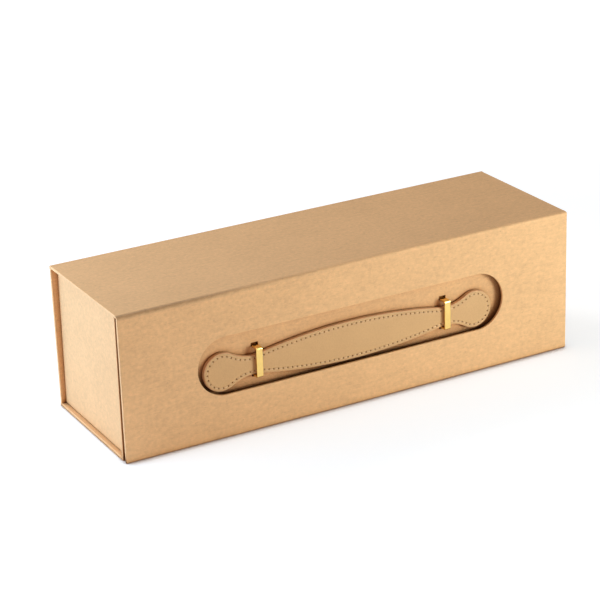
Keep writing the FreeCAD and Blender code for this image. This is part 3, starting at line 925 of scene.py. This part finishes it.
def strap_layer(name, node, outer, seam, sewn):
    """One leather layer: painted rim, stitch groove with needle holes, and a slightly raised middle."""
    towards = 1 if seam > outer else -1
    # Each ring has its inset from the outline and its depth below the outer face.
    thick = abs(seam - outer)
    rings = [(0.15 * MM, thick), (0.0, thick - 0.15 * MM), (0.0, 1.25 * MM), (0.07 * MM, 0.85 * MM),
             (0.24 * MM, 0.52 * MM), (0.52 * MM, 0.28 * MM), (0.85 * MM, 0.15 * MM), (1.15 * MM, 0.09 * MM),
             (1.45 * MM, 0.07 * MM), (1.75 * MM, 0.09 * MM), (2.0 * MM, 0.14 * MM), (2.2 * MM, 0.19 * MM),
             (STITCH_INSET, 0.21 * MM), (2.6 * MM, 0.19 * MM), (2.8 * MM, 0.14 * MM), (3.05 * MM, 0.08 * MM),
             (3.5 * MM, 0.03 * MM), (4.2 * MM, 0.01 * MM), (5.4 * MM, 0.0)]
    points = []
    holes = []
    for inset, depth in rings:
        for step, place in enumerate(strap_ring(inset)):
            past = step % STITCH_STEPS
            along = min(past, STITCH_STEPS - past) * STITCH_PITCH / STITCH_STEPS
            off = math.hypot(along, inset - STITCH_INSET)
            hole = 1 - smooth_step(off, HOLE_FLAT * HOLE_RADIUS, HOLE_RADIUS)
            pit = HOLE_DEPTH * hole if sewn else 0.0
            points.append((place.x, outer + towards * (depth + pit), place.y))
            # Each point keeps the share of painted shade that its needle hole gives it.
            holes.append(min(HOLE_SHADE_SPREAD * hole, 1.0) if sewn else 0.0)
    size = len(points) // len(rings)
    faces = ring_faces(len(rings), size)
    first = (len(rings) - 1) * size
    # The face inside the last ring is filled by rows that join its upper and lower halves.
    half = size // 2
    quarter_size = half // 2
    rows = []
    for step in range(-quarter_size, quarter_size + 1):
        upper = first + step % size
        lower = first + (half - step) % size
        row = [upper]
        if upper != lower:
            for cut in range(1, 4):
                start, end = Vector(points[upper]), Vector(points[lower])
                row.append(len(points))
                points.append(tuple(start.lerp(end, cut / 4)))
                holes.append(0.0)
            row.append(lower)
        rows.append(row)
    for row, after in zip(rows, rows[1:]):
        if len(row) == 1:
            faces += [(row[0], after[i], after[i + 1]) for i in range(4)]
        elif len(after) == 1:
            faces += [(row[i], after[0], row[i + 1]) for i in range(4)]
        else:
            faces += [(row[i], after[i], after[i + 1], row[i + 1]) for i in range(4)]
    # The seam side is closed by one flat face.
    faces.append(tuple(range(size)))
    layer = new_piece(name, points, faces, [LEATHER, EDGE_PAINT], "strap_leather", "box", [node])
    set_values(layer.data, "hole", holes)
    for polygon in layer.data.polygons[:PAINTED_RINGS * size]:
        polygon.material_index = 1


def make_stitches():
    """The sewing thread: one short twisted stitch between each two needle holes."""
    dice = random.Random(7)
    ring = strap_ring(STITCH_INSET)
    outer = STRAP_FACE[0].y
    sides, steps, plies = 8, 10, 2
    points, faces = [], []
    for start in range(0, len(ring), STITCH_STEPS):
        route = [ring[(start + step) % len(ring)] for step in range(STITCH_STEPS + 1)]
        first, last = route[0], route[-1]
        mid = route[STITCH_STEPS // 2].lerp(route[STITCH_STEPS // 2 + 1], 0.5)
        drift = dice.uniform(-THREAD_DRIFT, THREAD_DRIFT)
        lift = dice.uniform(-THREAD_LIFT, THREAD_LIFT)
        turn = dice.uniform(0, math.pi)
        along = (last - first).normalized()
        across = Vector((-along.y, along.x))
        base = len(points)
        for step in range(steps + 1):
            share = THREAD_START + (1 - 2 * THREAD_START) * step / steps
            place = first.lerp(last, share) + (mid - first.lerp(last, 0.5)) * 4 * share * (1 - share)
            place += across * drift * math.sin(math.pi * share)
            arch = math.sin(math.pi * share) ** 0.7
            rise = THREAD_SUNK - THREAD_RADIUS + THREAD_PRESSED + lift
            height = outer + THREAD_SUNK - rise * arch
            for side in range(sides):
                angle = 2 * math.pi * side / sides
                twist = 1 + PLY_DEPTH * math.cos(plies * (angle - turn) - PLY_TURN * share)
                reach = THREAD_RADIUS * twist * (1 - THREAD_TAPER + THREAD_TAPER * arch)
                offset = across * reach * math.cos(angle)
                points.append((place.x + offset.x, height + reach * math.sin(angle), place.y + offset.y))
        faces += [tuple(base + index for index in face) for face in ring_faces(steps + 1, sides)]
        faces.append(tuple(base + side for side in range(sides)))
        faces.append(tuple(base + steps * sides + side for side in range(sides)))
    new_piece("handle_stitching", points, faces, [THREAD], "strap_leather", "box")


def rounded_route(corners, radius, steps=6):
    """An open route through some corners, with an arc at each one, and its direction at each point."""
    route = []
    for i, here in enumerate(corners):
        if i in (0, len(corners) - 1):
            other = corners[1] if i == 0 else corners[-2]
            way = (other - here if i == 0 else here - other).normalized()
            route.append((here, way))
            continue
        into, out = (here - corners[i - 1]).normalized(), (corners[i + 1] - here).normalized()
        turn = math.atan2(into.x * out.y - into.y * out.x, into.dot(out))
        side = 1 if turn > 0 else -1
        centre = here - into * radius * math.tan(abs(turn) / 2) + side * radius * Vector((-into.y, into.x))
        arm = side * radius * Vector((into.y, -into.x))
        for step in range(steps + 1):
            spin = Matrix.Rotation(turn * step / steps, 2)
            route.append((centre + spin @ arm, spin @ into))
    return route


def make_loop(side):
    """A brass strip bent into a keeper, with its bar in front of the strap and its tabs behind the wall."""
    low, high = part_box(f"handle_loop_{side}")
    half_strip = LOOP_STRIP / 2
    bar = low.y + half_strip
    tab = high.y - half_strip
    leg_low = low.z + LOOP_TAB + half_strip
    leg_high = high.z - LOOP_TAB - half_strip
    corners = [(tab, low.z), (tab, leg_low), (bar, leg_low), (bar, leg_high), (tab, leg_high), (tab, high.z)]
    route = rounded_route([Vector(corner) for corner in corners], LOOP_BEND)
    middle = (low.x + high.x) / 2
    half_width = (high.x - low.x) / 2
    box = [Vector(corner) for corner in ((-half_width, -half_strip), (half_width, -half_strip),
                                         (half_width, half_strip), (-half_width, half_strip))]
    section = rounded_outline(box, LOOP_EDGE, [4, 2, 4, 2])
    points = []
    for place, way in route:
        normal = Vector((-way.y, way.x))
        for across, up in section:
            points.append((middle + across, place.x + normal.x * up, place.y + normal.y * up))
    size = len(section)
    faces = ring_faces(len(route), size)
    faces.append(tuple(range(size)))
    faces.append(tuple(range(len(points) - size, len(points))))
    new_piece(f"keeper_{side}", points, faces, [BRASS], "loop_brass", "box", [f"handle_loop_{side}"])


def make_handle():
    """The strap, its stitching and its two loops, and the finish of the hidden magnets."""
    strap_layer("strap_face", "handle_strap_face", STRAP_FACE[0].y, STRAP_FACE[1].y, True)
    strap_layer("strap_backing", "handle_strap_backing", STRAP_BACKING[1].y, STRAP_BACKING[0].y, False)
    make_stitches()
    for side in ("left", "right"):
        make_loop(side)
    for name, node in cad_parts.items():
        if "magnet" in name:
            node.data.materials.clear()
            node.data.materials.append(MAGNET)


def make_camera():
    """The camera at the photograph's place."""
    level = math.cos(CAMERA_PITCH)
    forward = Vector((level * math.sin(CAMERA_YAW), level * math.cos(CAMERA_YAW), math.sin(CAMERA_PITCH)))
    right = forward.cross(Vector((0, 0, 1))).normalized()
    up = right.cross(forward)
    turned_right = math.cos(CAMERA_ROLL) * right + math.sin(CAMERA_ROLL) * up
    turned_up = math.cos(CAMERA_ROLL) * up - math.sin(CAMERA_ROLL) * right
    camera = bpy.data.objects.new("camera", bpy.data.cameras.new("camera"))
    bpy.context.scene.collection.objects.link(camera)
    turn = Matrix((turned_right, turned_up, -forward)).transposed().to_4x4()
    camera.matrix_world = Matrix.Translation(CAMERA_PLACE) @ turn
    camera.data.lens = CAMERA_LENS
    camera.data.sensor_width = 36.0
    camera.data.clip_end = 20.0
    bpy.context.scene.camera = camera


def seen_directly(tree):
    """1 for rays from the camera, or seen in gloss or through glass, and 0 for the light on the object."""
    path = add_node(tree, "ShaderNodeLightPath").outputs
    gloss = math_node(tree, "MAXIMUM", path["Is Glossy Ray"], path["Is Transmission Ray"])
    return math_node(tree, "MAXIMUM", path["Is Camera Ray"], gloss)


def make_floor():
    """A wide white floor that keeps the object's shadow, with a painted contact shadow close round the
    object.
    """
    mesh = bpy.data.meshes.new("floor")
    reach = 6.0
    mesh.from_pydata([(-reach, -reach, 0), (reach, -reach, 0), (reach, reach, 0), (-reach, reach, 0)], [],
                     [(0, 1, 2, 3)])
    floor = bpy.data.objects.new("floor", mesh)
    bpy.context.scene.collection.objects.link(floor)
    material, tree, shader, place = start_material("floor_white", 0.9, Specular_IOR_Level=0.0)
    seen = seen_directly(tree)
    lit, shown = [(white, white, white, 1.0) for white in (FLOOR_WHITE, FLOOR_SHOWN)]
    # The painted contact shadow darkens the floor's colour and glow where the object closes in.
    painted_contact_shadow = painted_shade_tone(tree, FLOOR_SHADOW_TONES, FLOOR_SHADOW_REACH)
    paint = mixed_colour(tree, seen, lit, shown)
    tree.links.new(tinted_colour(tree, paint, painted_contact_shadow), shader.inputs["Base Color"])
    tree.links.new(painted_contact_shadow, shader.inputs["Emission Color"])
    # The floor glows more away from the object, where less lamp light reaches it, so that it stays white.
    away = add_node(tree, "ShaderNodeVectorMath", {0: place}, operation="LENGTH").outputs["Value"]
    glow = add_node(tree, "ShaderNodeMapRange", {
        "Value": away, "From Min": FLOOR_NEAR, "From Max": FLOOR_FAR, "To Min": FLOOR_GLOW, "To Max": 1.0})
    strength = times(tree, seen, glow.outputs["Result"])
    tree.links.new(strength, shader.inputs["Emission Strength"])
    mesh.materials.append(material)


def make_world():
    """Even soft light from all round, and a white background."""
    world = bpy.data.worlds.new("studio")
    bpy.context.scene.world = world
    world.use_nodes = True
    tree = world.node_tree
    background = tree.nodes["Background"]
    seen = seen_directly(tree)
    strength = plus(tree, times(tree, seen, 1.0 - AMBIENT), AMBIENT)
    background.inputs["Color"].default_value = (1, 1, 1, 1)
    tree.links.new(strength, background.inputs["Strength"])


def make_lamp(name, place, size, power, colour):
    """A square soft box that points at the object."""
    lamp = bpy.data.objects.new(name, bpy.data.lights.new(name, "AREA"))
    bpy.context.scene.collection.objects.link(lamp)
    lamp.data.shape = "SQUARE"
    lamp.data.size = size
    lamp.data.energy = power
    lamp.data.color = colour
    lamp.location = place
    lamp.rotation_mode = "QUATERNION"
    lamp.rotation_quaternion = (LAMP_AIM - Vector(place)).to_track_quat("-Z", "Y")
    lamp.visible_camera = False


def make_light():
    """The soft boxes, the world and the floor."""
    for name, values in LAMPS.items():
        make_lamp(name, *values)
    make_world()
    make_floor()
    bpy.context.scene.view_settings.view_transform = "Standard"


make_boards()
make_flap()
make_folds()
make_linings()
make_handle()
make_camera()
make_light()
